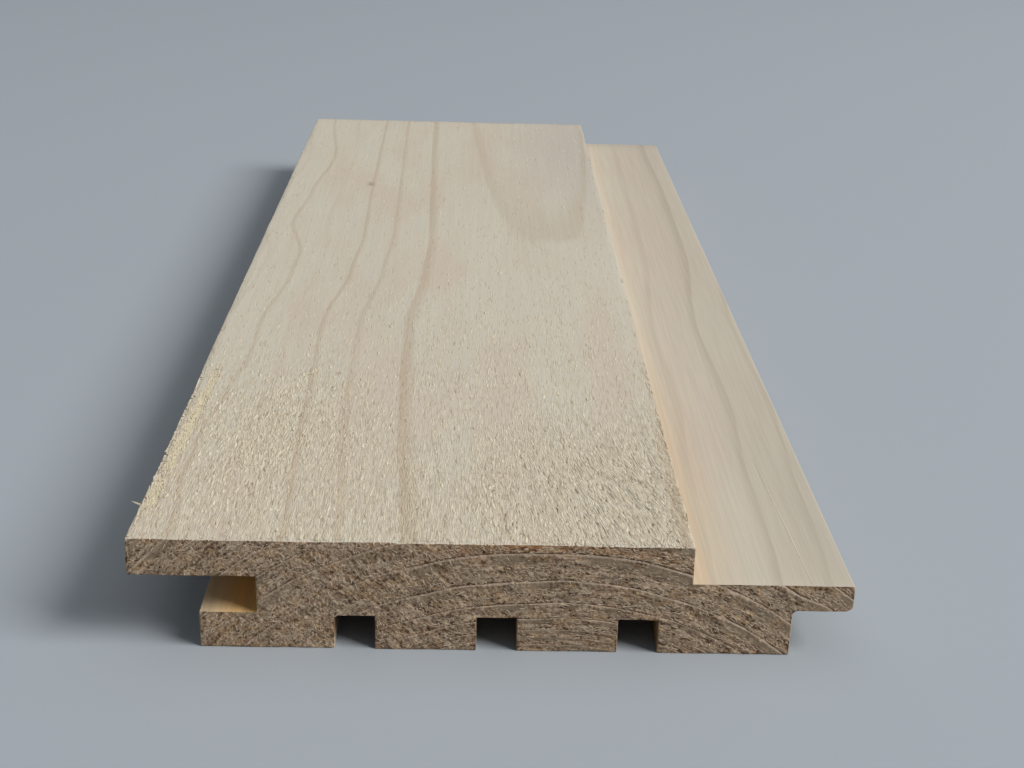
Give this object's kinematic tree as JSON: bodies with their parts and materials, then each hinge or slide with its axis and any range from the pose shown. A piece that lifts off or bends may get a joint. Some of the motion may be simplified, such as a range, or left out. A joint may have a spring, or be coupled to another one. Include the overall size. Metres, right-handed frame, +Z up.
{
  "type": "tongue and groove board",
  "caption": "Spruce tongue and groove cladding board with a fine-sawn show face, a stepped channel beside the tongue, a deep edge groove and relief grooves along its back.",
  "frame": {"origin": "on the underside, at the middle of the overall width and of the length", "axes": "+X across the board from the groove edge to the tongue, +Y along the grain, +Z up through the show face"},
  "size_m": [0.12, 0.32, 0.02],
  "materials": {
    "spruce": "matte"
  },
  "bodies": {
    "root": {"board": "spruce"}
  },
  "joints": []
}
